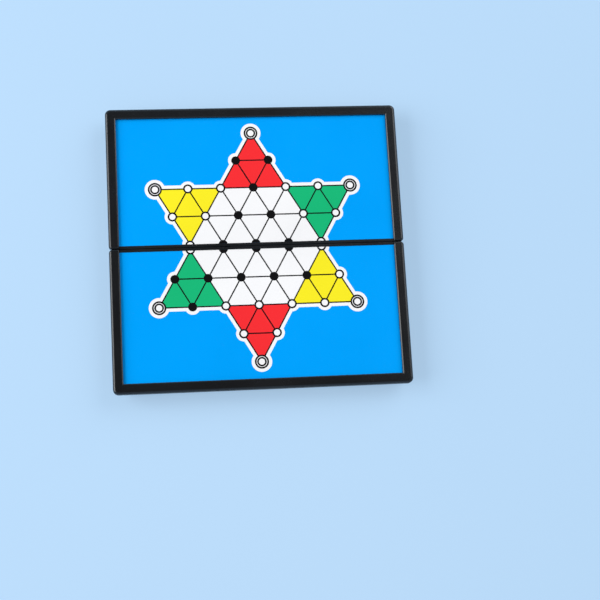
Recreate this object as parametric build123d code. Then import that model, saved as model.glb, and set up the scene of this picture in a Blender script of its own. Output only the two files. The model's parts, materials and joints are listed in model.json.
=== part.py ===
from build123d import *
import os
from math import atan2, cos, degrees, pi, sqrt

# Folding magnetic star board, opened flat and lying on its mouth edges.
# X runs along the fold, Y from the fold to the far edge, Z up; the floor is Z = 0.
# Every shape is modelled for the far half (Y > 0) and mirrored for the near half.

# Overall case
case_width = 250.0
half_depth = 122.0
half_height = 19.4
fold_gap = 0.3

# Rim frame
rim_width = 8.6
rim_rise = 2.5
skirt_height = 6.8
skirt_wall = 1.8
rim_corner_radius = 4.0
rim_end_radius = 2.0
rim_edge_radius = 1.1
rim_bevel = 0.7
rim_clearance = 0.1
slit_width = 1.0
slit_foot_width = 2.6
slit_foot_height = 1.1
slit_from_end = 5.0
clip_thickness = 1.4
clip_drop = 3.4
side_clip_spacing = 56.0
side_clips = 2
front_clip_spacing = 64.0
front_clips = 3

# Tray shell
wall_inset = 4.2
wall_thickness = 2.2
back_wall = 2.5
deck_thickness = 1.8
tray_corner_radius = 2.4
mouth_edge_bevel = 0.6
fold_lip_rise = 0.6
fold_lip_bevel = 0.4

# Sheets under the rim
film_thickness = 0.3
film_clearance = 0.1
steel_thickness = 0.4
sheet_tuck = 1.2
sheet_clearance = 0.2

# Fold hinge: short links, each on two pins
hinge_pin_radius = 1.0
pin_depth = 2.85
pin_hold = 0.02
pin_running = 0.05
link_radius = 2.45
link_width = 12.0
link_side_clearance = 0.2
pocket_clearance = 0.3
ear_width = 6.0
ear_depth = 6.0
ear_gusset = 5.0
pin_end_inset = 0.3
hinge_spacing = 170.0
hinges = 2

# Bar magnets that hold the case shut, in posts on the far wall
magnet_length = 12.0
magnet_width = 4.0
magnet_thickness = 2.0
magnet_clearance = 0.05
magnet_post_wall = 1.2
magnet_spacing = 120.0
magnets_per_half = 2

# Star print; its round marks are drawn with a few straight sides
tip_margin = 5.45
star_left_shift = 1.6
first_row = 2.8
halo = 3.5
line_width = 0.9
ring_width = 1.1
point_radius = 3.7
point_halo_radius = 6.7
tip_radius = 5.9
tip_halo_radius = 8.85
ink_thickness = 0.06
mark_sides = 8

# Pawns, with as few sides as still look round, and their rack
pawn_base_radius = 5.0
pawn_base_height = 1.8
pawn_shoulder_radius = 3.2
pawn_body_height = 5.2
pawn_neck_radius = 1.7
pawn_head_radius = 3.1
pawn_head_bevel = 2.3
pawn_sides = 8
pawn_seat_clearance = 0.1
pawn_pitch = 14.5
pawn_rows = 2
pawns_per_row = 3
well_clearance = 0.2
rack_height = 9.0
rack_border = 5.0
rack_offset = 60.0

# Levels and edges that follow from them
half_width = case_width / 2
fold_face = fold_gap / 2
film_top = half_height - rim_rise
steel_top = film_top - film_thickness
deck_top = steel_top - steel_thickness
deck_bottom = deck_top - deck_thickness
window_x = half_width - rim_width
window_y = half_depth - rim_width
wall_x = half_width - wall_inset
wall_y = half_depth - wall_inset
lip_y = fold_face + back_wall
sheet_x = window_x + sheet_tuck
sheet_y = window_y + sheet_tuck
pin_y = fold_face + pin_depth
pin_z = pin_depth
pitch = (window_y - tip_margin - tip_halo_radius - first_row) / (2 * sqrt(3))
row_step = pitch * sqrt(3) / 2
beyond = 10.0


def slab(x0, x1, y0, y1, z0, z1):
    """Box between two corners."""
    return Pos(x0, y0, z0) * Box(x1 - x0, y1 - y0, z1 - z0, align=(Align.MIN,) * 3)


def plate(x, y0, y1, z0, z1, radius):
    """Upright slab, symmetric in X, with rounded corners at its far end."""
    block = slab(-x, x, y0, y1, z0, z1)
    far = block.edges().filter_by(Axis.Z).group_by(Axis.Y)[-1]
    return fillet(far, radius)


def bar(radius, length, x, y, z):
    """Cylinder along X, centred on x."""
    return Pos(x, y, z) * Rot(0, 90, 0) * Cylinder(radius, length)


def far_and_near(solid):
    """The same solid for the far half and, mirrored, for the near half."""
    return solid, mirror(solid, about=Plane.XZ)


def make_rim():
    """U-shaped frame: a flat top over the film's edge and an outer skirt with a groove behind it."""
    rim = plate(half_width, fold_face, half_depth, half_height - skirt_height, half_height, rim_corner_radius)
    ends = rim.edges().filter_by(Axis.Z).group_by(Axis.Y)[0]
    rim = fillet(ends, rim_end_radius)
    rim = fillet(rim.faces().sort_by(Axis.Z)[-1].edges(), rim_edge_radius)
    groove = plate(
        half_width - skirt_wall, fold_face + skirt_wall, half_depth - skirt_wall,
        -beyond, film_top, rim_corner_radius - skirt_wall,
    )
    tray_room = slab(
        -wall_x - rim_clearance, wall_x + rim_clearance, -beyond, wall_y + rim_clearance, -beyond, film_top
    )
    window = slab(-window_x, window_x, -beyond, window_y, -beyond, half_height + beyond)
    bevel_sketch = Plane.XY.offset(half_height - rim_bevel) * Pos(0, window_y / 2 - beyond) * Rectangle(
        2 * window_x, window_y + 2 * beyond
    )
    bevel = extrude(bevel_sketch, amount=2 * rim_bevel, taper=-45)
    rim = rim - groove - tray_room - window - bevel
    for clip in rim_clips():
        rim = rim + clip
    for side in (-1, 1):
        rim = rim - corner_slit(side)
    return rim


def rim_clips():
    """Ribs that hang in the groove and locate the rim on the tray's wall."""
    low, high = film_top - clip_drop, film_top + rim_rise / 2
    clips = []
    for y in spread(side_clips, side_clip_spacing, half_depth / 2):
        for side in (-1, 1):
            x0, x1 = sorted((side * (wall_x + rim_clearance), side * (half_width - skirt_wall / 2)))
            clips.append(slab(x0, x1, y - clip_thickness / 2, y + clip_thickness / 2, low, high))
    for x in spread(front_clips, front_clip_spacing, 0):
        y0, y1 = wall_y + rim_clearance, half_depth - skirt_wall / 2
        clips.append(slab(x - clip_thickness / 2, x + clip_thickness / 2, y0, y1, low, high))
    return clips


def spread(count, spacing, middle):
    """Evenly spaced places about a middle."""
    return [middle + (step - (count - 1) / 2) * spacing for step in range(count)]


def corner_slit(side):
    """Slit through the skirt near its outer corner, with a wider foot at the lower edge."""
    y = half_depth - slit_from_end
    skirt_bottom = half_height - skirt_height
    x0, x1 = sorted((side * (half_width - skirt_wall - rim_clearance), side * (half_width + beyond)))
    stem = slab(x0, x1, y - slit_width / 2, y + slit_width / 2, skirt_bottom - beyond, film_top)
    foot = slab(
        x0, x1, y - slit_foot_width / 2, y + slit_foot_width / 2,
        skirt_bottom - beyond, skirt_bottom + slit_foot_height,
    )
    return stem + foot


def make_tray():
    """Moulded shell: three walls, a back wall with a fold lip, the deck, hinge ears and magnet posts."""
    tray = plate(wall_x, fold_face, wall_y, 0, film_top, tray_corner_radius)
    mouth = tray.edges().group_by(Axis.Z)[0].filter_by(lambda edge: edge.center().Y > lip_y)
    tray = chamfer(mouth, mouth_edge_bevel)
    cavity = plate(
        wall_x - wall_thickness, lip_y, wall_y - wall_thickness, -beyond, deck_bottom,
        tray_corner_radius - wall_thickness / 2,
    )
    sheet_room = slab(
        -sheet_x - sheet_clearance, sheet_x + sheet_clearance, lip_y, sheet_y + sheet_clearance,
        deck_top, film_top + beyond,
    )
    fold_lip = slab(-window_x, window_x, fold_face, lip_y, deck_top, film_top + fold_lip_rise)
    fold_lip = chamfer(fold_lip.edges().filter_by(Axis.X).group_by(Axis.Z)[-1], fold_lip_bevel)
    tray = tray - cavity - sheet_room + fold_lip
    for x in hinge_stations():
        tray = tray + hinge_ears(x)
    for x in magnet_stations():
        tray = tray + magnet_post(x)
    for x in hinge_stations():
        tray = tray - link_pocket(x) - bar(hinge_pin_radius + pin_hold, pin_span(), x, pin_y, pin_z)
    for x in magnet_stations():
        tray = tray - magnet_block(x, magnet_clearance, 0, magnet_thickness + 2 * magnet_clearance)
    return tray - fold_corner()


def hinge_stations():
    """Places of the links along the fold."""
    return spread(hinges, hinge_spacing, 0)


def magnet_stations():
    """Places of the closure magnets along the far wall."""
    return spread(magnets_per_half, magnet_spacing, 0)


def pin_span():
    """Width over the two ears of one hinge station."""
    return link_width + 2 * link_side_clearance + 2 * ear_width


def hinge_ears(x):
    """Two gusseted ears on the back wall that hold one pin."""
    outline = Polyline(
        (fold_face, 0), (fold_face + ear_depth, 0), (fold_face + ear_depth, ear_depth),
        (lip_y, ear_depth + ear_gusset), (fold_face, ear_depth + ear_gusset), close=True,
    )
    profile = make_face(Plane.YZ * outline)
    profile = Pos(x - pin_span() / 2, 0, 0) * profile
    ears = extrude(profile, amount=pin_span(), dir=(1, 0, 0))
    inner = link_width / 2 + link_side_clearance
    gap = slab(x - inner, x + inner, lip_y, half_depth, -beyond, deck_bottom)
    return ears - gap


def link_pocket(x):
    """Opening through the foot of the back wall that the link turns in."""
    inner = link_width / 2 + link_side_clearance
    return slab(
        x - inner, x + inner, -beyond, lip_y + beyond, -beyond, pin_z + link_radius + pocket_clearance
    )


def fold_corner():
    """What a rounding about the pin takes off the back wall's lower corner."""
    corner = slab(-case_width, case_width, fold_face - beyond, pin_y, -beyond, pin_z)
    keep = bar(pin_depth, 3 * case_width, 0, pin_y, pin_z)
    return corner - keep


def magnet_y():
    """Distance of the closure magnets from the fold."""
    return wall_y - wall_thickness - magnet_post_wall / 2 - magnet_clearance - magnet_width / 2


def magnet_block(x, grown, z0, z1):
    """Block round one closure magnet, grown sideways."""
    along, across = magnet_length / 2 + grown, magnet_width / 2 + grown
    return slab(x - along, x + along, magnet_y() - across, magnet_y() + across, z0, z1)


def magnet_post(x):
    """Post from the deck to the mouth, grown into the far wall."""
    return magnet_block(x, magnet_clearance + magnet_post_wall, 0, deck_bottom + deck_thickness / 2)


def make_magnets():
    """Closure magnets just inside the mouth."""
    z0 = magnet_clearance
    return [magnet_block(x, 0, z0, z0 + magnet_thickness) for x in magnet_stations()]


def make_pins():
    """Hinge pins, one to a station."""
    length = pin_span() - 2 * pin_end_inset
    return [bar(hinge_pin_radius, length, x, pin_y, pin_z) for x in hinge_stations()]


def make_links():
    """Links: two round eyes joined by a flat bar, across the fold."""
    links = []
    for x in hinge_stations():
        x0, x1 = x - link_width / 2, x + link_width / 2
        link = slab(x0, x1, -pin_y, pin_y, pin_z - link_radius, pin_z + link_radius)
        for y in (-pin_y, pin_y):
            link = link + bar(link_radius, link_width, x, y, pin_z)
        for y in (-pin_y, pin_y):
            link = link - bar(hinge_pin_radius + pin_running, 2 * link_width, x, y, pin_z)
        links.append(link)
    return links


def lattice(column, row):
    """Place of a lattice point; rows count away from the fold."""
    return column * pitch - star_left_shift, first_row + row * row_step


# Points of one half of the star: row number and how far its points reach either side
star_rows = {0: 2.0, 1: 2.5, 2: 3.0, 3: 0.5, 4: 0.0}
tips = ((0, 4), (-3, 2), (3, 2))
outline = ((-2, 0), (-3, 2), (-1, 2), (0, 4), (1, 2), (3, 2), (2, 0))
# Homes: the one at the far tip and the two at the sides, each a triangle of three lattice points
apex_home = ((0, 4), (-1, 2), (1, 2))
left_home = ((-3, 2), (-1, 2), (-2, 0))
right_home = ((3, 2), (1, 2), (2, 0))
# Points printed solid
far_solid = ((-0.5, 3), (0.5, 3), (0, 2), (-0.5, 1), (0.5, 1), (-1, 0), (0, 0), (1, 0))
near_solid = ((-2.5, 1), (-1.5, 1), (-0.5, 1), (0.5, 1), (1.5, 1), (-2, 2), (-1, 0), (0, 0), (1, 0))


def star_points():
    """Every lattice point of one half of the star."""
    points = []
    for row, reach in star_rows.items():
        count = int(2 * reach) + 1
        points += [(-reach + step, row) for step in range(count)]
    return points


def disc(point, radius):
    """Filled round mark on a lattice point."""
    return Pos(*lattice(*point)) * RegularPolygon(radius, mark_sides)


def film_area():
    """The sheet of one half, cut to the window between the rim and the fold lip."""
    near, far = lip_y + film_clearance, window_y - film_clearance
    return Pos(0, (near + far) / 2) * Rectangle(2 * (window_x - film_clearance), far - near)


def triangle(corners):
    """Filled triangle between three lattice points."""
    return make_face(Polyline(*[lattice(*corner) for corner in corners], close=True))


def eye_radius(point):
    """Outer radius of the ring printed on a point."""
    return tip_radius if point in tips else point_radius


def star_field():
    """White ground of the star: its outline grown by the halo, with bulges round the outer points."""
    below = first_row + pitch
    foot = [(2 * pitch - star_left_shift, -below), (-2 * pitch - star_left_shift, -below)]
    star = make_face(Polyline(*[lattice(*corner) for corner in outline], *foot, close=True))
    field = offset(star, amount=halo, kind=Kind.INTERSECTION)
    for point in star_points():
        if point in tips:
            field = field + disc(point, tip_halo_radius)
        elif not is_inner(point):
            field = field + disc(point, point_halo_radius)
    return field & film_area()


def is_inner(point):
    """Whether a point lies inside the star's outline."""
    column, row = point
    return row in (0, 1) and abs(column) < star_rows[row] or row == 2 and abs(column) < 1


def home_area(corners):
    """Coloured home with the points left out of it."""
    area = triangle(corners)
    for point in star_points():
        area = area - disc(point, eye_radius(point) - ring_width / 2)
    return area & film_area()


def line_runs():
    """Ends of the lattice lines in the three directions; none runs along the fold."""
    runs = []
    for slope in (0, 1, -1):
        lines = {}
        for column, row in star_points():
            if slope or row:
                key = column - slope * row / 2 if slope else row
                lines.setdefault(key, []).append((column, row))
        for points in lines.values():
            if len(points) > 1:
                points.sort(key=lambda point: (point[1], point[0]))
                runs.append((points[0], points[-1]))
    return runs


def ink_area(solid_points):
    """Black print: lattice lines, a ring on every open point and a disc on every solid one."""
    ink = Sketch()
    for start, end in line_runs():
        (x0, y0), (x1, y1) = lattice(*start), lattice(*end)
        length = sqrt((x1 - x0) ** 2 + (y1 - y0) ** 2)
        turn = Rot(0, 0, degrees(atan2(y1 - y0, x1 - x0)))
        ink = ink + Pos((x0 + x1) / 2, (y0 + y1) / 2) * turn * Rectangle(length, line_width)
    for point in star_points():
        ink = ink + disc(point, eye_radius(point))
        if point not in solid_points:
            ink = ink - disc(point, eye_radius(point) - ring_width)
        if point in tips:
            ink = ink + disc(point, point_radius) - disc(point, point_radius - ring_width)
    return ink & film_area()


def printed_film(solid_points):
    """Film of the far half as flush colour areas, and the ink on top of it."""
    homes = {"apex": apex_home, "left": left_home, "right": right_home}
    field = star_field()
    areas = {"ground": film_area() - field}
    for name, corners in homes.items():
        areas[name] = home_area(corners)
        field = field - areas[name]
    areas["star"] = field
    film = {name: extrude(Pos(0, 0, steel_top) * area, amount=film_thickness) for name, area in areas.items()}
    film["lines"] = extrude(Pos(0, 0, film_top) * ink_area(solid_points), amount=ink_thickness)
    return film


def make_steel():
    """Steel sheet under the film."""
    return slab(-sheet_x, sheet_x, lip_y + sheet_clearance, sheet_y, deck_top, steel_top)


def faceted(radius, top_radius, height):
    """Upright prism or pyramid stump with a pawn's number of sides, standing on Z = 0."""
    lean = degrees(atan2((radius - top_radius) * cos(pi / pawn_sides), height))
    return extrude(RegularPolygon(radius, pawn_sides), amount=height, taper=lean)


def make_pawn():
    """Pawn standing on Z = 0: a disc, a leaning body and a bevelled head. Its magnet is moulded in."""
    neck_z = pawn_base_height + pawn_body_height
    widest_z = neck_z + pawn_head_bevel
    pawn = faceted(pawn_base_radius, pawn_base_radius, pawn_base_height)
    pawn += Pos(0, 0, pawn_base_height) * faceted(pawn_shoulder_radius, pawn_neck_radius, pawn_body_height)
    bevel = faceted(pawn_head_radius, pawn_neck_radius, pawn_head_bevel)
    pawn += mirror(Pos(0, 0, -widest_z) * bevel, about=Plane.XY)
    return pawn + Pos(0, 0, widest_z) * bevel


def pawn_places(group):
    """Centres of the pawns of one colour, group -1, 0 or 1 from left to right."""
    places = []
    for column in range(pawns_per_row):
        for row in range(pawn_rows):
            x = (group * pawns_per_row + column - (pawns_per_row - 1) / 2) * pawn_pitch
            y = -rack_offset + (row - (pawn_rows - 1) / 2) * pawn_pitch
            places.append((x, y))
    return places


def stored(solid, place):
    """A pawn hanging head down in the near half, base to the deck."""
    return Pos(place[0], place[1], deck_bottom - pawn_seat_clearance) * Rot(180, 0, 0) * solid


def make_rack():
    """Foam block under the near deck with a square well for each pawn."""
    well = 2 * (pawn_base_radius + well_clearance)
    length = (3 * pawns_per_row - 1) * pawn_pitch + well + 2 * rack_border
    depth = (pawn_rows - 1) * pawn_pitch + well + 2 * rack_border
    rack_area = Pos(0, -rack_offset) * Rectangle(length, depth)
    for group in (-1, 0, 1):
        for place in pawn_places(group):
            rack_area = rack_area - Pos(*place) * Rectangle(well, well)
    return extrude(Pos(0, 0, deck_bottom - rack_height) * rack_area, amount=rack_height)


parts = {}
parts["upper_tray"], parts["lower_tray"] = far_and_near(make_tray())
parts["upper_rim"], parts["lower_rim"] = far_and_near(make_rim())
parts["upper_steel_sheet"], parts["lower_steel_sheet"] = far_and_near(make_steel())

far_names = {"ground": "blue_ground", "star": "white_star", "lines": "black_lines",
             "apex": "red_home", "left": "yellow_home", "right": "green_home"}
near_names = far_names | {"left": "green_home", "right": "yellow_home"}
for area, solid in printed_film(far_solid).items():
    parts["upper_film_" + far_names[area]] = solid
for area, solid in printed_film(near_solid).items():
    parts["lower_film_" + near_names[area]] = mirror(solid, about=Plane.XZ)

magnets = make_magnets()
parts["upper_closure_magnets"] = Compound(children=magnets)
parts["lower_closure_magnets"] = Compound(children=[mirror(magnet, about=Plane.XZ) for magnet in magnets])
pins = make_pins()
parts["upper_hinge_pins"] = Compound(children=pins)
parts["lower_hinge_pins"] = Compound(children=[mirror(pin, about=Plane.XZ) for pin in pins])
parts["hinge_links"] = Compound(children=make_links())

parts["piece_rack"] = make_rack()
pawn = make_pawn()
for colour, group in (("red", -1), ("yellow", 0), ("green", 1)):
    parts[colour + "_pawns"] = Compound(children=[stored(pawn, place) for place in pawn_places(group)])

os.makedirs("parts", exist_ok=True)
for name, shape in parts.items():
    export_step(shape, os.path.join("parts", name + ".step"))
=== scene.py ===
import json

import bmesh
import bpy
import numpy as np
from mathutils import Matrix, Vector


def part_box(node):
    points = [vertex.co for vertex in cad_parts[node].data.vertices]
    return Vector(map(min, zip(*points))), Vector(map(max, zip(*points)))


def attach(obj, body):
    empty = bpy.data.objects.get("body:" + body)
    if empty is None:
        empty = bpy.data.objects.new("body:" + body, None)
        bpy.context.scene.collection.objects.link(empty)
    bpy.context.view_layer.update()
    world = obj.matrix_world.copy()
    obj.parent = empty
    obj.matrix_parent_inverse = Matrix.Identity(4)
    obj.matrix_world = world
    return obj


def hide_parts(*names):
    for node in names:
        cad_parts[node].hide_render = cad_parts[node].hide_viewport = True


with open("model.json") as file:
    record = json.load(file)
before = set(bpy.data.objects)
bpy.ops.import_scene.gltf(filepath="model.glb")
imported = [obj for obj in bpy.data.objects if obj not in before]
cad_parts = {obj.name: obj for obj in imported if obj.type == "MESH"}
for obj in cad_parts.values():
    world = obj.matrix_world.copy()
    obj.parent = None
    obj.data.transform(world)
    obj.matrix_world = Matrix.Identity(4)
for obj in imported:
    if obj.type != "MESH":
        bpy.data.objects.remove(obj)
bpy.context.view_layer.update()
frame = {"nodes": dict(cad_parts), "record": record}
mm = 0.001

# levels and edges of one half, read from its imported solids
filmLow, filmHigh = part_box("upper_film_blue_ground")
rimLow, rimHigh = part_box("upper_rim")
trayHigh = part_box("upper_tray")[1]
clearance = 0.1 * mm
case = {
    "halfWidth": rimHigh.x,
    "halfDepth": rimHigh.y,
    "foldFace": rimLow.y,
    "top": rimHigh.z,
    "skirtBottom": rimLow.z,
    "windowX": filmHigh.x + clearance,
    "windowY": filmHigh.y + clearance,
    "filmTop": filmHigh.z,
    "filmUnder": filmLow.z,
    "filmX": filmHigh.x,
    "filmNear": filmLow.y,
    "filmFar": filmHigh.y,
    "wallX": trayHigh.x + clearance,
    "wallY": trayHigh.y + clearance,
}
halves = {"far": {"side": 1, "cad": "upper", "body": "upper_half"},
          "near": {"side": -1, "cad": "lower", "body": "lower_half"}}


def newBag():
    return {"points": [], "faces": [], "count": 0}


def addShell(bag, points, faces):
    # one more closed shell; its faces count from its own first point
    bag["faces"] += [[bag["count"] + i for i in face] for face in faces]
    bag["points"].append(np.asarray(points, float))
    bag["count"] += len(points)


def addSlab(bag, outline, low, high, origin=(0, 0, 0), u=(1, 0, 0), v=(0, 1, 0), w=(0, 0, 1)):
    # slab: origin + a*u + b*v + h*w for each (a, b) of an anticlockwise outline, at h = low and h = high
    outline = np.asarray(outline, float)
    u, v, w = (np.array(way, float) for way in (u, v, w))
    flat = np.asarray(origin, float) + outline[:, :1] * u + outline[:, 1:] * v
    n = len(outline)
    ring = np.arange(n)
    after = np.roll(ring, -1)
    sides = np.column_stack([ring, after, after + n, ring + n])
    addShell(bag, np.vstack([flat + low * w, flat + high * w]),
             [ring[::-1].tolist(), (ring + n).tolist()] + sides.tolist())


def addBand(bag, outer, inner, low, high, closed):
    # flat band between two lines of points: a four-cornered section from low to high, carried along them
    n = len(outer)
    corners = [(outer, low), (outer, high), (inner, high), (inner, low)]
    points = np.stack([np.column_stack([xy, np.full(n, z)]) for xy, z in corners], axis=1).reshape(-1, 3)
    here = np.arange(n if closed else n - 1)[:, None]
    there = (here + 1) % n
    side = np.arange(4)[None, :]
    nextSide = (side + 1) % 4
    quads = np.stack([4 * here + side, 4 * there + side, 4 * there + nextSide, 4 * here + nextSide], axis=-1)
    faces = quads.reshape(-1, 4).tolist()
    if not closed:
        faces += [[0, 1, 2, 3], [4 * n - 1, 4 * n - 2, 4 * n - 3, 4 * n - 4]]
    addShell(bag, points, faces)


def addLathe(bag, profile, centre, base, direction, around):
    # turned solid: centre + r*(cos a, sin a) at base + direction*h, for a profile of (r, h) from pole to pole
    profile = np.asarray(profile, float)
    body = profile[1:-1]
    rows = len(body)
    angle = np.linspace(0, 2 * np.pi, around, endpoint=False) * direction
    x = centre[0] + body[:, :1] * np.cos(angle)
    y = centre[1] + body[:, :1] * np.sin(angle)
    z = base + direction * np.repeat(body[:, 1:], around, axis=1)
    points = np.stack([x, y, z], axis=-1).reshape(-1, 3)
    poles = [[*centre, base + direction * profile[end, 1]] for end in (0, -1)]
    ring = np.arange(around)
    after = np.roll(ring, -1)
    row = np.arange(rows - 1)[:, None] * around
    nextRow = row + around
    quads = np.stack([row + ring, row + after, nextRow + after, nextRow + ring], axis=-1).reshape(-1, 4)
    firstPole, lastPole = rows * around, rows * around + 1
    lastRing = (rows - 1) * around
    pairs = list(zip(ring.tolist(), after.tolist()))
    fans = [[firstPole, b, a] for a, b in pairs] + [[lastPole, lastRing + a, lastRing + b] for a, b in pairs]
    addShell(bag, np.vstack([points, poles]), quads.tolist() + fans)


sharpAngle = np.radians(34)    # edges that turn more than this stay sharp in the shading


def makePiece(name, bag, body, slotName, replaced, side=1, merge=0.0):
    # a bag of shells as one object; side -1 mirrors it to the near half and turns its faces round
    points = np.concatenate(bag["points"])
    points[:, 1] *= side
    faces = bag["faces"] if side > 0 else [face[::-1] for face in bag["faces"]]
    mesh = bpy.data.meshes.new(name)
    mesh.from_pydata(points.tolist(), [], faces)
    if merge:
        work = bmesh.new()
        work.from_mesh(mesh)
        bmesh.ops.remove_doubles(work, verts=work.verts, dist=merge)
        bmesh.ops.dissolve_degenerate(work, edges=work.edges, dist=merge)
        work.to_mesh(mesh)
        work.free()
    corners = np.zeros(len(mesh.polygons), np.int32)
    mesh.polygons.foreach_get("loop_total", corners)
    mesh.polygons.foreach_set("use_smooth", corners <= 4)
    mesh.set_sharp_from_angle(angle=sharpAngle)
    mesh.update()
    piece = bpy.data.objects.new(name, mesh)
    bpy.context.scene.collection.objects.link(piece)
    mesh.materials.append(finishes[slotName])
    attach(piece, body)
    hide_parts(*replaced)


# star print: a board point is a pair of column and row; columns run along the fold, rows away from it
star = {
    "tipMargin": 5.7 * mm,    # from a tip's halo to the window
    "leftShift": 1.6 * mm,    # how far to the left of the middle the print lies
    "firstRow": 2.8 * mm,     # from the fold's middle to the row of points on it
    "foldDrop": 0.8 * mm,     # how much nearer to the fold than their row the cut marks lie
    "halo": 3.3 * mm,         # white beside the outer lines
    "lineWidth": 1.1 * mm,
    "ringWidth": 1.4 * mm,
    "pointRadius": 4.0 * mm,
    "spotRadius": 3.75 * mm,
    "pointHalo": 6.55 * mm,
    "tipRadius": 5.9 * mm,
    "tipHalo": 8.6 * mm,
    "arcStep": np.radians(5),
    "markSteps": 48,
    "rows": {0: 2, 1: 2.5, 2: 3, 3: 0.5, 4: 0},    # the outermost column of each row
    "tips": [(0, 4), (-3, 2), (3, 2)],
    "homes": {"apex": [(0, 4), (-1, 2), (1, 2)],
              "left": [(-3, 2), (-2, 0), (-1, 2)],
              "right": [(3, 2), (1, 2), (2, 0)]},
    "walk": [(2, 0), (2.5, 1), (3, 2), (2, 2), (1, 2), (0.5, 3), (0, 4), (-0.5, 3), (-1, 2), (-2, 2), (-3, 2),
             (-2.5, 1), (-2, 0)],
    # foot and top of each kind of print, in mm over the film
    "layers": {"white": (0.00, 0.02), "home": (0.01, 0.035), "eye": (0.02, 0.045), "line": (0.02, 0.06),
               "mark": (0.02, 0.07)},
}
star["pitch"] = (case["windowY"] - star["tipMargin"] - star["tipHalo"] - star["firstRow"]) / (2 * np.sqrt(3))
prints = {
    "far": {"left": "yellow", "right": "green",
            "solid": [(-0.5, 3), (0.5, 3), (0, 2), (-0.5, 1), (0.5, 1), (-1, 0), (0, 0), (1, 0)]},
    "near": {"left": "green", "right": "yellow",
             "solid": [(-2.5, 1), (-1.5, 1), (-0.5, 1), (0.5, 1), (1.5, 1), (-2, 2), (-1, 0), (0, 0),
                       (1, 0)]},
}


def lattice(point):
    # place of a board point: x = column*pitch - shift, y = firstRow + row*pitch*sqrt(3)/2
    column, row = point
    y = star["firstRow"] + row * star["pitch"] * np.sqrt(0.75)
    return np.array([column * star["pitch"] - star["leftShift"], y])


def boardPoints():
    return [(edge - step, row) for row, edge in star["rows"].items() for step in range(int(2 * edge) + 1)]


def turned(angle):
    return np.column_stack([np.cos(angle), np.sin(angle)])


def cutAngle(centre, radius):
    # direction from a circle's centre to where the film's near edge cuts it
    return np.arcsin((case["filmNear"] - centre[1]) / radius)


def starOutline():
    # edge of the white field: round each point of the walk an arc of its halo, from one strip to the next
    places = np.array([lattice(point) for point in star["walk"]])
    steps = np.diff(places, axis=0)
    steps /= np.linalg.norm(steps, axis=1)[:, None]

    def edgeAngle(step, reach):
        # direction from a point to where its halo meets the edge of the strip along the step
        corner = star["halo"] * np.array([step[1], -step[0]]) + reach * step
        return np.arctan2(corner[1], corner[0])

    arcs = []
    for number, (point, place) in enumerate(zip(star["walk"], places)):
        radius = star["tipHalo"] if point in star["tips"] else star["pointHalo"]
        reach = np.sqrt(radius ** 2 - star["halo"] ** 2)
        start = edgeAngle(steps[number - 1], -reach) if number > 0 else cutAngle(place, radius)
        end = edgeAngle(steps[number], reach) if number < len(steps) else np.pi - cutAngle(place, radius)
        sweep = (end - start) % (2 * np.pi)
        angle = np.linspace(start, start + sweep, int(np.ceil(sweep / star["arcStep"])) + 1)
        arcs.append(place + radius * turned(angle))
    return np.vstack(arcs)


def layer(name):
    low, high = star["layers"][name]
    return case["filmTop"] + low * mm, case["filmTop"] + high * mm


def markCentre(point):
    return lattice(point) - np.array([0, 0 if point[1] else star["foldDrop"]])


def markEdge(point, radius):
    # circle round a mark's centre: all of it, or the part on this film for a point that the fold cuts
    centre = markCentre(point)
    if point[1] > 0:
        angle = np.linspace(0, 2 * np.pi, star["markSteps"], endpoint=False)
    else:
        cut = cutAngle(centre, radius)
        angle = np.linspace(cut, np.pi - cut, star["markSteps"] // 2 + 1)
    return centre + radius * turned(angle)


def addDisc(bag, point, radius, levels):
    # printed spot
    addSlab(bag, markEdge(point, radius), *levels)


def addRing(bag, point, radius, levels):
    # printed ring: a band of the ring's width just inside the radius, its ends cut straight at the fold
    addBand(bag, markEdge(point, radius), markEdge(point, radius - star["ringWidth"]), *levels, point[1] > 0)


def eyeRadius(point):
    return star["tipRadius"] if point in star["tips"] else star["pointRadius"]


def lineReach(point, step):
    # way along a line from its board point to the middle of the mark's ring
    offset = lattice(point) - markCentre(point)
    along = offset @ step
    radius = eyeRadius(point) - star["ringWidth"] / 2
    return np.sqrt(along ** 2 - offset @ offset + radius ** 2) - along


def addLatticeLines(bag):
    # straight bands between neighbouring points, from one mark's ring to the next one's; none along the fold
    points = boardPoints()
    for point in points:
        column, row = point
        for other in ((column + 1, row), (column + 0.5, row + 1), (column - 0.5, row + 1)):
            if other in points and (row, other[1]) != (0, 0):
                start, end = lattice(point), lattice(other)
                step = (end - start) / np.linalg.norm(end - start)
                path = np.array([start + lineReach(point, step) * step, end - lineReach(other, -step) * step])
                aside = star["lineWidth"] / 2 * np.array([step[1], -step[0]])
                addBand(bag, path + aside, path - aside, *layer("line"), False)


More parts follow.
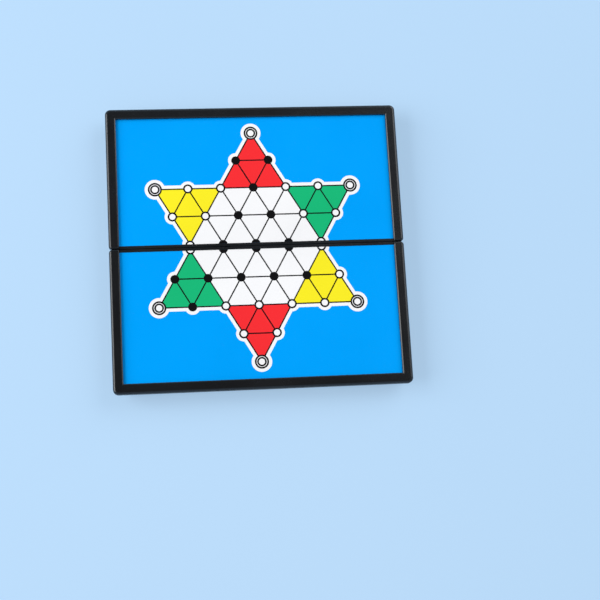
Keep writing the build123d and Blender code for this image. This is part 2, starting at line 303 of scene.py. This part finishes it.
def makeFilm(where):
    half, design = halves[where], prints[where]

    def addPiece(name, bag, slotName, cadName):
        replaced = [half["cad"] + "_film_" + cadName]
        makePiece(where + "_" + name, bag, half["body"], slotName, replaced, half["side"])

    sheet = newBag()
    x, near, far = case["filmX"], case["filmNear"], case["filmFar"]
    addSlab(sheet, [(-x, near), (x, near), (x, far), (-x, far)], case["filmUnder"], case["filmTop"])
    addPiece("blue_ground", sheet, "film_blue", "blue_ground")
    white = newBag()
    addSlab(white, starOutline(), *layer("white"))
    for point in boardPoints():
        if point not in design["solid"]:
            addDisc(white, point, eyeRadius(point) - star["ringWidth"] / 2, layer("eye"))
    addPiece("white_star", white, "film_white", "white_star")
    for home, colour in (("apex", "red"), ("left", design["left"]), ("right", design["right"])):
        area = newBag()
        addSlab(area, [lattice(point) for point in star["homes"][home]], *layer("home"))
        addPiece(colour + "_home", area, "film_" + colour, colour + "_home")
    ink = newBag()
    addLatticeLines(ink)
    for point in boardPoints():
        if point in design["solid"]:
            addDisc(ink, point, star["spotRadius"], layer("mark"))
        else:
            addRing(ink, point, eyeRadius(point), layer("mark"))
            if point in star["tips"]:
                addRing(ink, point, star["pointRadius"], layer("mark"))
    addPiece("black_print", ink, "ink_black", "black_lines")


rim = {
    "edgeRound": 2.4 * mm,
    "foldRound": 0.5,       # share of the rounding that the end faces at the fold get
    "windowBevel": 0.9 * mm,
    "windowDrop": 0.55 * mm,
    "skirtWall": 1.8 * mm,
    "cornerRadius": 4.6 * mm,
    "endRadius": 2.9 * mm,
    "footRound": 0.35 * mm,
    "footTurn": 0.29,       # where the foot's rounding has turned by half, as a share of its radius
    "hold": 0.15 * mm,      # strip of the top beside each rounding that keeps the shading flat
    "fall": 0.22 * mm,      # how much lower the top lies at its outer edge
    "roundSteps": 6,
    "cornerSteps": 15,
    "flangeStep": 1 * mm,   # from the window to the next station of the end face
    "helperGap": 0.2 * mm,  # from the rounding at the fold to the window's first station
    "slitFromEnd": 5 * mm,
    "slitWidth": 1 * mm,
    "slitFootWidth": 2.6 * mm,
    "slitFootHeight": 1.1 * mm,
    "ribThickness": 1.4 * mm,
    "ribDrop": 3.4 * mm,
    "ribBevel": 0.8 * mm,
    "ribHold": 0.15 * mm,   # how far a rib reaches into the skirt and the flange
    "sideRibs": 56 * mm,
    "farRibs": 64 * mm,
    "merge": 0.002 * mm,
}
flange, skirt, foot, slit = range(4)


def rimStations():
    # plan of the far frame, anticlockwise from the window's right end; a station is its place, its way in
    # from outside, its way in from the window and its kind
    x, y, fold, windowX = case["halfWidth"], case["halfDepth"], case["foldFace"], case["windowX"]
    rows = [((windowX, fold), (0, 1), (1, 0), flange),
            ((windowX + rim["flangeStep"], fold), (0, 1), (0, 0), flange),
            ((case["wallX"], fold), (0, 1), (0, 0), flange),
            ((case["wallX"], fold), (0, 1), (0, 0), skirt)]

    def addArc(centreX, centreY, radius, first, count):
        for way in turned(np.radians(first) + np.linspace(0, np.pi / 2, count)):
            rows.append(((centreX + radius * way[0], centreY + radius * way[1]), -way, (0, 0), skirt))

    end, corner = rim["endRadius"], rim["cornerRadius"]
    addArc(x - end, fold + end, end, -90, rim["cornerSteps"] // 2)
    middle = y - rim["slitFromEnd"]
    stem, wide = rim["slitWidth"] / 2, rim["slitFootWidth"] / 2
    upper = min(middle + wide, y - corner)
    for place, kind in ((middle - wide, skirt), (middle - wide, foot), (middle - stem, foot),
                        (middle - stem, slit), (middle + stem, slit), (middle + stem, foot), (upper, foot)):
        rows.append(((x, place), (-1, 0), (0, 0), kind))
    addArc(x - corner, y - corner, corner, 0, rim["cornerSteps"])
    left = [((-a, b), (-c, d), (-e, f), kind) for (a, b), (c, d), (e, f), kind in rows[::-1]]
    helper = fold + rim["edgeRound"] + rim["helperGap"]
    window = [((-windowX, helper), (0, 0), (-1, 0), flange),
              ((-windowX, case["windowY"]), (0, 0), (-1, 1), flange),
              ((windowX, case["windowY"]), (0, 0), (1, 1), flange),
              ((windowX, helper), (0, 0), (1, 0), flange)]
    places, outerWays, windowWays, kinds = zip(*(rows + left + window))
    return np.array(places), np.array(outerWays, float), np.array(windowWays, float), np.array(kinds)


def addRim(bag):
    # frame: place + depth*outerWay + windowDepth*windowWay, ring by ring down the outer and window section
    place, outerWay, windowWay, kind = rimStations()
    top, under, bottom = case["top"], case["filmTop"], case["skirtBottom"]
    radius, bevel, wall = rim["edgeRound"], rim["windowBevel"], rim["skirtWall"]
    hold, small = rim["hold"], rim["footRound"]
    share = rim["foldRound"] + (1 - rim["foldRound"]) * (1 - np.maximum(outerWay[:, 1], 0) ** 2)
    turn = np.linspace(0, np.pi / 2, rim["roundSteps"] + 1)
    outer = [(radius + hold, top)] + list(zip(radius * (1 - np.sin(turn)), top - radius * (1 - np.cos(turn))))
    part = np.linspace(0, 1, rim["roundSteps"] + 1)
    inner = [(bevel + hold, top)] + list(zip(bevel * (1 - part), top - rim["windowDrop"] * part))

    def skirtEnd(z):
        halfTurn = rim["footTurn"] * small
        return [(0, z + small), (halfTurn, z + halfTurn), (small, z), (wall, z), (wall, under)]

    # lowest part of the outer section for each kind of station, as rows of depth and height
    ends = np.array([[(0, under)] * 5, skirtEnd(bottom), skirtEnd(bottom + rim["slitFootHeight"]),
                     [(0, under)] * 4 + [(wall, under)]])
    onWindow = np.any(windowWay != 0, axis=1)
    onOuter = np.any(outerWay != 0, axis=1)
    inset = np.abs(place + (share * (radius + hold))[:, None] * outerWay + (bevel + hold) * windowWay)
    aside = np.maximum(inset[:, 0] - case["windowX"], inset[:, 1] - case["windowY"]) - bevel - hold
    breadth = case["halfWidth"] - case["windowX"] - bevel - radius - 2 * hold
    fall = rim["fall"] * np.clip(aside / breadth, 0, 1)
    sections = [(depth * share, height - fall, *window) for (depth, height), window in zip(outer, inner)]
    sections += [(*ends[kind, row].T, 0, under) for row in range(ends.shape[1])]
    rings = []
    for depth, height, windowDepth, windowHeight in sections:
        onBoth = np.where(onOuter, np.minimum(height, windowHeight), windowHeight)
        xy = place + depth[:, None] * outerWay + windowDepth * windowWay
        rings.append(np.column_stack([xy, np.where(onWindow, onBoth, height)]))
    n = len(place)
    ring = np.arange(n)
    after = np.roll(ring, -1)
    # the window's four stations come last; a mitre runs from each of its corners to the middle of that arc
    window = n - 4
    rightMitre = window // 2 - rim["cornerSteps"] // 2 - 1
    leftMitre = window - 1 - rightMitre
    faces = [list(range(rightMitre + 1)) + [window + 2, window + 3],
             list(range(rightMitre, leftMitre + 1)) + [window + 1, window + 2],
             list(range(leftMitre, window)) + [window, window + 1],
             (ring[::-1] + (len(rings) - 1) * n).tolist()]
    for number in range(len(rings) - 1):
        upper, lower = number * n, (number + 1) * n
        faces += np.column_stack([lower + ring, lower + after, upper + after, upper + ring]).tolist()
    addShell(bag, np.vstack(rings), faces)


def addRibs(bag):
    # locating ribs in the groove: a section between wall and skirt, bevelled at its foot
    low, high = case["filmTop"] - rim["ribDrop"], case["filmTop"] + rim["ribHold"]
    half, cut = rim["ribThickness"] / 2, rim["ribBevel"]

    def ribSection(outside, wall):
        depth = outside - rim["skirtWall"] + rim["ribHold"] - wall
        return [(0, low + cut), (cut, low), (depth, low), (depth, high), (0, high)]

    section = ribSection(case["halfWidth"], case["wallX"])
    for sign in (-1, 1):
        for step in (-0.5, 0.5):
            origin = (sign * case["wallX"], case["halfDepth"] / 2 + step * rim["sideRibs"], 0)
            addSlab(bag, section, -half, half, origin, (sign, 0, 0), (0, 0, 1), (0, -sign, 0))
    section = ribSection(case["halfDepth"], case["wallY"])
    for step in (-1, 0, 1):
        origin = (step * rim["farRibs"], case["wallY"], 0)
        addSlab(bag, section, -half, half, origin, (0, 1, 0), (0, 0, 1), (1, 0, 0))


def makeRim(where):
    half = halves[where]
    bag = newBag()
    addRim(bag)
    addRibs(bag)
    replaced = [half["cad"] + "_rim"]
    makePiece(where + "_rim", bag, half["body"], "rim_black", replaced, half["side"], rim["merge"])


pawn = {
    "base": 5.0 * mm,
    "baseHeight": 1.8 * mm,
    "baseRound": 0.45 * mm,
    "shoulder": 3.2 * mm,
    "neck": 1.7 * mm,
    "neckHeight": 7.0 * mm,
    "hollow": 1.8,          # power that draws the body in between shoulder and neck
    "head": 2.95 * mm,
    "headCentre": 8.75 * mm,
    "around": 40,
    "roundSteps": 5,
    "bodySteps": 9,
    "headSteps": 15,
    "columns": 3,
}


def pawnProfile():
    # (r, h): flat base with rounded rim, hollow cone up to a collar, and a ball
    rounding, base, height = pawn["baseRound"], pawn["base"] - pawn["baseRound"], pawn["baseHeight"]
    turn = np.linspace(0, np.pi / 2, pawn["roundSteps"])
    low = np.column_stack([base + rounding * np.sin(turn), rounding * (1 - np.cos(turn))])
    high = np.column_stack([base + rounding * np.cos(turn), height - rounding + rounding * np.sin(turn)])
    rise = np.linspace(0, 1, pawn["bodySteps"])
    cone = np.column_stack([pawn["neck"] + (pawn["shoulder"] - pawn["neck"]) * (1 - rise) ** pawn["hollow"],
                            height + (pawn["neckHeight"] - height) * rise])
    ball = np.linspace(np.pi - np.arcsin(pawn["neck"] / pawn["head"]), 0, pawn["headSteps"])
    head = np.column_stack([pawn["head"] * np.sin(ball), pawn["headCentre"] + pawn["head"] * np.cos(ball)])
    return np.vstack([[[0, 0]], low, high, cone, head[1:-1], [[0, pawn["headCentre"] + pawn["head"]]]])


def makePawns(colour):
    # six pawns of a colour, head down in the rack's wells
    low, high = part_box(colour + "_pawns")
    bag = newBag()
    for x in np.linspace(low.x + pawn["base"], high.x - pawn["base"], pawn["columns"]):
        for y in (low.y + pawn["base"], high.y - pawn["base"]):
            addLathe(bag, pawnProfile(), (x, y), high.z, -1, pawn["around"])
    makePiece(colour + "_playing_pawns", bag, colour + "_pawns", "pawn_" + colour, [colour + "_pawns"])


def addNode(tree, kind, **settings):
    node = tree.nodes.new("ShaderNode" + kind)
    for label, value in settings.items():
        setattr(node, label, value)
    return node


def setSocket(tree, socket, value):
    # a number, a colour or another node's socket
    if isinstance(value, bpy.types.NodeSocket):
        tree.links.new(value, socket)
    else:
        socket.default_value = value


def feed(tree, node, **values):
    # sets sockets by name, with _ for a space
    for label, value in values.items():
        setSocket(tree, node.inputs[label.replace("_", " ")], value)
    return node


def mixColours(tree, factor, first, second):
    node = addNode(tree, "Mix", data_type="RGBA")
    for index, value in ((0, factor), (6, first), (7, second)):
        setSocket(tree, node.inputs[index], value)
    return node.outputs[2]


def mixShaders(tree, factor, first, second):
    node = addNode(tree, "MixShader")
    for socket, value in zip(node.inputs, (factor, first, second)):
        setSocket(tree, socket, value)
    return node.outputs[0]


def math(tree, operation, first, second, clamp=False):
    node = addNode(tree, "Math", operation=operation, use_clamp=clamp)
    for socket, value in zip(node.inputs, (first, second)):
        setSocket(tree, socket, value)
    return node.outputs[0]


def remap(tree, value, fromLow, fromHigh, toLow=0.0, toHigh=1.0):
    node = addNode(tree, "MapRange")
    feed(tree, node, Value=value, From_Min=fromLow, From_Max=fromHigh, To_Min=toLow, To_Max=toHigh)
    return node.outputs["Result"]


def noise(tree, place, scale, detail=2.0, rough=0.5):
    node = addNode(tree, "TexNoise")
    return feed(tree, node, Vector=place, Scale=scale, Detail=detail, Roughness=rough).outputs["Fac"]


def sway(tree, pattern, reach=1.0):
    # noise as a drift to both sides of zero; most of a pattern lies between 0.3 and 0.7
    return remap(tree, pattern, 0.3, 0.7, -reach, reach)


def lighter(tree, colour, share):
    # colour made lighter or darker by a share of its own value
    node = addNode(tree, "HueSaturation")
    return feed(tree, node, Color=colour, Value=math(tree, "ADD", share, 1.0)).outputs["Color"]


def newGroup(name, inputs):
    # node group with named inputs, floats by a number and colours by a tuple, and the outputs of every finish
    group = bpy.data.node_groups.new(name, "ShaderNodeTree")
    for label, value in inputs.items():
        kind = "NodeSocketColor" if isinstance(value, tuple) else "NodeSocketFloat"
        group.interface.new_socket(label, in_out="INPUT", socket_type=kind).default_value = value
    for label, kind in (("Color", "Color"), ("Roughness", "Float"), ("Normal", "Vector")):
        group.interface.new_socket(label, in_out="OUTPUT", socket_type="NodeSocket" + kind)
    given = group.nodes.new("NodeGroupInput").outputs
    return group, given, addNode(group, "TexCoord").outputs["Object"]


def endGroup(group, colour, roughness, bump):
    out = group.nodes.new("NodeGroupOutput")
    feed(group, out, Color=colour, Roughness=roughness, Normal=bump.outputs["Normal"])
    return group


def mouldedGroup():
    # moulded plastic: cloudy tone, fine grain, softened edges rubbed bright, dust on faces that look up
    group, given, place = newGroup("mouldedPlastic", {
        "Tone": (0.02, 0.02, 0.02, 1), "Worn Tone": (0.05, 0.05, 0.05, 1), "Dust Tone": (0.3, 0.3, 0.3, 1),
        "Tone Spread": 0.15, "Rough": 0.35, "Rough Spread": 0.08, "Grain Scale": 2500.0, "Grain Depth": 0.1,
        "Edge Radius": 0.3 * mm, "Wear": 0.5, "Dust": 0.1})
    cloud = noise(group, place, 28.0, 3.0)
    speck = noise(group, place, 900.0)
    grain = noise(group, place, given["Grain Scale"], rough=0.6)
    soft = feed(group, addNode(group, "Bevel", samples=4), Radius=given["Edge Radius"]).outputs["Normal"]
    flat = addNode(group, "NewGeometry").outputs["True Normal"]
    facing = addNode(group, "VectorMath", operation="DOT_PRODUCT")
    for socket, normal in zip(facing.inputs, (soft, flat)):
        setSocket(group, socket, normal)
    edge = remap(group, facing.outputs["Value"], 0.985, 0.82)
    rub = math(group, "MULTIPLY", edge, remap(group, cloud, 0.4, 0.65))
    rub = math(group, "MULTIPLY", rub, given["Wear"], clamp=True)
    up = feed(group, addNode(group, "SeparateXYZ"), Vector=flat).outputs["Z"]
    settled = math(group, "MULTIPLY", remap(group, up, 0.5, 1.0), remap(group, speck, 0.56, 0.74))
    settled = math(group, "MULTIPLY", settled, given["Dust"], clamp=True)
    tone = lighter(group, given["Tone"], math(group, "MULTIPLY", sway(group, cloud), given["Tone Spread"]))
    colour = mixColours(group, rub, tone, given["Worn Tone"])
    colour = mixColours(group, settled, colour, given["Dust Tone"])
    uneven = math(group, "MULTIPLY", sway(group, cloud), given["Rough Spread"])
    roughness = math(group, "ADD", math(group, "ADD", given["Rough"], uneven),
                     math(group, "MULTIPLY", settled, 0.5), clamp=True)
    bump = feed(group, addNode(group, "Bump"), Strength=given["Grain Depth"], Distance=0.2 * mm, Height=grain,
                Normal=soft)
    return endGroup(group, colour, roughness, bump)


def printGroup():
    # printed laminate: ink density that drifts a little, a faint peel in the gloss and stray dust
    group, given, place = newGroup("printedLaminate", {
        "Ink": (0.5, 0.5, 0.5, 1), "Dust Tone": (0.8, 0.84, 0.9, 1), "Density Spread": 0.03, "Rough": 0.32,
        "Rough Spread": 0.06, "Peel Scale": 420.0, "Peel Depth": 0.05, "Dust": 0.05})
    drift = noise(group, place, 11.0, 3.0)
    dots = noise(group, place, 3800.0, 1.0)
    peel = noise(group, place, given["Peel Scale"])
    speck = noise(group, place, 1400.0)
    density = math(group, "ADD", sway(group, drift), sway(group, dots, 0.6))
    tone = lighter(group, given["Ink"], math(group, "MULTIPLY", density, given["Density Spread"]))
    settled = math(group, "MULTIPLY", remap(group, speck, 0.66, 0.8), given["Dust"], clamp=True)
    colour = mixColours(group, settled, tone, given["Dust Tone"])
    uneven = math(group, "MULTIPLY", sway(group, drift), given["Rough Spread"])
    roughness = math(group, "ADD", given["Rough"], uneven, clamp=True)
    bump = feed(group, addNode(group, "Bump"), Strength=given["Peel Depth"], Distance=0.4 * mm, Height=peel)
    return endGroup(group, colour, roughness, bump)


def metalGroup():
    # bright metal: fine lines along one way, cloudy tarnish and a rough patchwork
    group, given, place = newGroup("brightMetal", {
        "Tone": (0.6, 0.6, 0.6, 1), "Tarnish": (0.35, 0.34, 0.33, 1), "Rough": 0.25, "Rough Spread": 0.1,
        "Line Scale": 6000.0, "Line Depth": 0.1, "Patch Scale": 300.0, "Patch": 0.2})
    stretched = feed(group, addNode(group, "Mapping"), Vector=place, Scale=(0.02, 1.0, 1.0)).outputs["Vector"]
    lines = noise(group, stretched, given["Line Scale"], 1.0)
    cloud = noise(group, place, 60.0, 4.0)
    patches = feed(group, addNode(group, "TexVoronoi"), Vector=place, Scale=given["Patch Scale"])
    patchy = feed(group, addNode(group, "SeparateColor"), Color=patches.outputs["Color"]).outputs[0]
    dull = math(group, "MULTIPLY", patchy, given["Patch"])
    dull = math(group, "ADD", dull, remap(group, cloud, 0.5, 0.8, 0.0, 0.3), clamp=True)
    colour = mixColours(group, dull, given["Tone"], given["Tarnish"])
    uneven = math(group, "MULTIPLY", sway(group, lines), given["Rough Spread"])
    roughness = math(group, "ADD", given["Rough"], uneven, clamp=True)
    bump = feed(group, addNode(group, "Bump"), Strength=given["Line Depth"], Distance=0.1 * mm, Height=lines)
    return endGroup(group, colour, roughness, bump)


def foamGroup():
    # closed-cell foam: small cells that dent the surface, with painted shade in their hollows and painted
    # light on their walls
    group, given, place = newGroup("closedCellFoam", {
        "Tone": (0.04, 0.04, 0.045, 1), "Painted Lit Wall Tone": (0.09, 0.09, 0.1, 1), "Cell Scale": 1100.0,
        "Cell Depth": 0.6})
    cells = feed(group, addNode(group, "TexVoronoi", feature="DISTANCE_TO_EDGE"), Vector=place,
                 Scale=given["Cell Scale"]).outputs["Distance"]
    # painted light and shade: near each cell's edge the lighter wall tone, in its hollow the darker tone
    colour = mixColours(group, remap(group, cells, 0.16, 0.02), given["Tone"], given["Painted Lit Wall Tone"])
    roughness = remap(group, cells, 0.0, 0.3, 0.8, 0.95)
    bump = feed(group, addNode(group, "Bump"), Strength=given["Cell Depth"], Distance=0.3 * mm, Height=cells)
    return endGroup(group, colour, roughness, bump)


def makeFinish(name, group, values, plain):
    # a material: the group's colour, roughness and normal, and plain numbers on the shader's own sockets
    material = bpy.data.materials.new(name)
    material.use_nodes = True
    tree = material.node_tree
    shader = tree.nodes["Principled BSDF"]
    surface = addNode(tree, "Group", node_tree=group)
    for label, value in values.items():
        surface.inputs[label].default_value = (*value, 1) if isinstance(value, tuple) else value
    feed(tree, shader, Base_Color=surface.outputs["Color"], Roughness=surface.outputs["Roughness"],
         Normal=surface.outputs["Normal"])
    for label, value in plain.items():
        shader.inputs[label].default_value = value
    return material


moulded, printed, metal, foam = mouldedGroup(), printGroup(), metalGroup(), foamGroup()
finishes = {
    "case_black": makeFinish("caseBlack", moulded, {
        "Tone": (0.0052, 0.0052, 0.0056), "Worn Tone": (0.025, 0.025, 0.027), "Dust Tone": (0.1, 0.1, 0.11),
        "Rough": 0.34, "Rough Spread": 0.06, "Grain Scale": 2600.0, "Grain Depth": 0.16,
        "Edge Radius": 0.35 * mm, "Wear": 0.6, "Dust": 0.1}, {"IOR": 1.46, "Specular IOR Level": 0.36}),
    "rim_black": makeFinish("rimBlack", moulded, {
        "Tone": (0.0068, 0.007, 0.0078), "Worn Tone": (0.03, 0.03, 0.032), "Dust Tone": (0.12, 0.13, 0.15),
        "Rough": 0.25, "Rough Spread": 0.03, "Grain Scale": 1600.0, "Grain Depth": 0.02,
        "Edge Radius": 0.12 * mm, "Wear": 0.35, "Dust": 0.03}, {"IOR": 1.46}),
    "link_black": makeFinish("linkBlack", moulded, {
        "Tone": (0.012, 0.012, 0.013), "Worn Tone": (0.05, 0.05, 0.05), "Rough": 0.55, "Grain Scale": 3400.0,
        "Grain Depth": 0.25, "Wear": 0.8, "Dust": 0.0}, {"IOR": 1.52}),
    "steel": makeFinish("zincSteel", metal, {
        "Tone": (0.62, 0.63, 0.65), "Tarnish": (0.4, 0.41, 0.43), "Rough": 0.34, "Patch": 0.5,
        "Patch Scale": 180.0}, {"Metallic": 1.0}),
    "pin_steel": makeFinish("drawnSteel", metal, {
        "Tone": (0.66, 0.66, 0.67), "Rough": 0.2, "Patch": 0.05, "Line Depth": 0.2}, {"Metallic": 1.0}),
    "magnet": makeFinish("nickelPlate", metal, {
        "Tone": (0.72, 0.7, 0.66), "Tarnish": (0.5, 0.48, 0.44), "Rough": 0.16, "Rough Spread": 0.04,
        "Patch": 0.05}, {"Metallic": 1.0}),
    "foam": makeFinish("rackFoam", foam, {}, {"IOR": 1.4}),
}
inks = {
    "film_blue": (0.0, 0.367, 0.985),
    "film_white": (0.955, 0.958, 0.965),
    "film_red": (0.956, 0.031, 0.037),
    "film_yellow": (0.975, 0.86, 0.022),
    "film_green": (0.011, 0.5, 0.192),
    "ink_black": (0.007, 0.007, 0.0074),
}
for label, ink in inks.items():
    finishes[label] = makeFinish(label.title().replace("_", ""), printed, {"Ink": ink, "Rough": 0.2},
                                 {"IOR": 1.4, "Specular IOR Level": 0.12})
pawnColours = {"red": (0.74, 0.014, 0.018), "yellow": (0.9, 0.62, 0.012), "green": (0.008, 0.31, 0.085)}
for label, tone in pawnColours.items():
    worn = tuple(min(1.0, 1.25 * part + 0.02) for part in tone)
    finishes["pawn_" + label] = makeFinish("pawn" + label.title(), moulded, {
        "Tone": tone, "Worn Tone": worn, "Rough": 0.2, "Rough Spread": 0.04, "Grain Scale": 900.0,
        "Grain Depth": 0.03, "Tone Spread": 0.05, "Edge Radius": 0.1 * mm, "Wear": 0.4, "Dust": 0.0},
        {"IOR": 1.49, "Coat Weight": 0.3, "Coat Roughness": 0.08})
print("finishes:", len(finishes))

for where in halves:
    makeFilm(where)
    makeRim(where)
print("print and frames made")
for colour in pawnColours:
    makePawns(colour)
print("pawns made")

slots = {subpart["node"]: subpart["material_slot"] for subpart in frame["record"]["subparts"]}
for name, node in frame["nodes"].items():
    node.data.materials.clear()
    node.data.materials.append(finishes[slots[name]])

studio = {
    "floorReach": 7.0,
    "floorCloud": 1.3,
    "floorLow": (0.495, 0.715, 0.955),
    "floorHigh": (0.512, 0.732, 0.97),
    "background": (0.503, 0.723, 0.965),
    "floorGlow": 0.6,       # share of the floor's colour that the camera sees whatever the light is
    "glowFrom": 0.35,       # from this distance on the share grows
    "glowTo": 1.6,          # and from this one on it is all of it
    "overhead": 0.09,
    "around": 0.34,
    "overheadFrom": 0.66,
    "overheadTo": 0.97,
    "lightTone": (0.9, 1.0, 1.14),
    "lampSize": (2.1, 2.3),
    "lamps": {"leftSoftbox": {"place": (-2.35, 0.15, 1.45), "power": 86.0, "tone": (1.0, 0.98, 0.965)},
              "rightSoftbox": {"place": (1.75, 1.35, 1.62), "power": 41.0, "tone": (1.0, 0.97, 0.94)}},
}


def makeFloor():
    # plain pale floor, large enough to fill every view down to its edge; to the camera a share of it glows,
    # so that the object's shadow on it stays faint
    reach = studio["floorReach"]
    mesh = bpy.data.meshes.new("floor")
    mesh.from_pydata([(-reach, -reach, 0), (reach, -reach, 0), (reach, reach, 0), (-reach, reach, 0)], [],
                     [(0, 1, 2, 3)])
    floor = bpy.data.objects.new("floor", mesh)
    bpy.context.scene.collection.objects.link(floor)
    material = bpy.data.materials.new("paleFloor")
    material.use_nodes = True
    tree = material.node_tree
    place = addNode(tree, "TexCoord").outputs["Object"]
    tone = mixColours(tree, remap(tree, noise(tree, place, studio["floorCloud"]), 0.3, 0.7),
                      (*studio["floorLow"], 1), (*studio["floorHigh"], 1))
    shader = feed(tree, tree.nodes["Principled BSDF"], Base_Color=tone, Roughness=0.9, Specular_IOR_Level=0.0)
    glow = feed(tree, addNode(tree, "Emission"), Color=tone, Strength=1.0)
    away = feed(tree, addNode(tree, "VectorMath", operation="LENGTH"), Vector=place).outputs["Value"]
    share = math(tree, "MULTIPLY", addNode(tree, "LightPath").outputs["Is Camera Ray"],
                 remap(tree, away, studio["glowFrom"], studio["glowTo"], studio["floorGlow"], 1.0))
    mixed = mixShaders(tree, share, shader.outputs[0], glow.outputs[0])
    feed(tree, tree.nodes["Material Output"], Surface=mixed)
    mesh.materials.append(material)


def makeWorld():
    # dim overhead and bright all round, so black gloss stays dark; seen directly it is the pale background
    world = bpy.data.worlds.new("paleStudio")
    bpy.context.scene.world = world
    world.use_nodes = True
    tree = world.node_tree
    tree.nodes.clear()
    path = addNode(tree, "LightPath").outputs
    way = feed(tree, addNode(tree, "SeparateXYZ"), Vector=addNode(tree, "TexCoord").outputs["Generated"])
    rise = feed(tree, addNode(tree, "MapRange", interpolation_type="SMOOTHSTEP"), Value=way.outputs["Z"],
                From_Min=studio["overheadFrom"], From_Max=studio["overheadTo"]).outputs["Result"]
    level = remap(tree, rise, 0.0, 1.0, studio["around"], studio["overhead"])
    lit = feed(tree, addNode(tree, "Background"), Color=(*studio["lightTone"], 1), Strength=level)
    seen = feed(tree, addNode(tree, "Background"), Color=(*studio["background"], 1), Strength=1.0)
    mirrored = math(tree, "MULTIPLY", path["Is Glossy Ray"], math(tree, "SUBTRACT", 1.0, rise, clamp=True))
    direct = math(tree, "ADD", path["Is Camera Ray"], path["Is Transmission Ray"])
    share = math(tree, "ADD", direct, mirrored, clamp=True)
    feed(tree, addNode(tree, "OutputWorld"), Surface=mixShaders(tree, share, lit.outputs[0], seen.outputs[0]))


def aimed(location, target, upHint):
    # placement that looks from location to target: columns right = upHint x back, up = back x right, back
    back = (Vector(location) - Vector(target)).normalized()
    right = Vector(upHint).cross(back).normalized()
    matrix = Matrix((right, back.cross(right), back)).transposed().to_4x4()
    matrix.translation = location
    return matrix


def makeLight(name, place, power, tone):
    lamp = bpy.data.lights.new(name, "AREA")
    lamp.shape = "RECTANGLE"
    lamp.size, lamp.size_y = studio["lampSize"]
    lamp.energy, lamp.color = power, tone
    holder = bpy.data.objects.new(name, lamp)
    bpy.context.scene.collection.objects.link(holder)
    holder.matrix_world = aimed(place, (0, 0, 0), (0, 1, 0))
    holder.visible_camera = False


# fitted to the printed points of the photo
camera = {"place": (-0.0968, -0.2544, 1.1127), "target": (0.033086, -0.048071, 0.0169), "up": (0.0554, 1, 0),
          "lens": 80.023, "sensor": 36}


def makeCamera():
    data = bpy.data.cameras.new("photoView")
    data.lens, data.sensor_width = camera["lens"], camera["sensor"]
    holder = bpy.data.objects.new("photoView", data)
    bpy.context.scene.collection.objects.link(holder)
    holder.matrix_world = aimed(camera["place"], camera["target"], camera["up"])
    bpy.context.scene.camera = holder


makeFloor()
makeWorld()
for name, lamp in studio["lamps"].items():
    makeLight(name, **lamp)
makeCamera()
bpy.context.scene.view_settings.view_transform = "Standard"
print("studio ready")
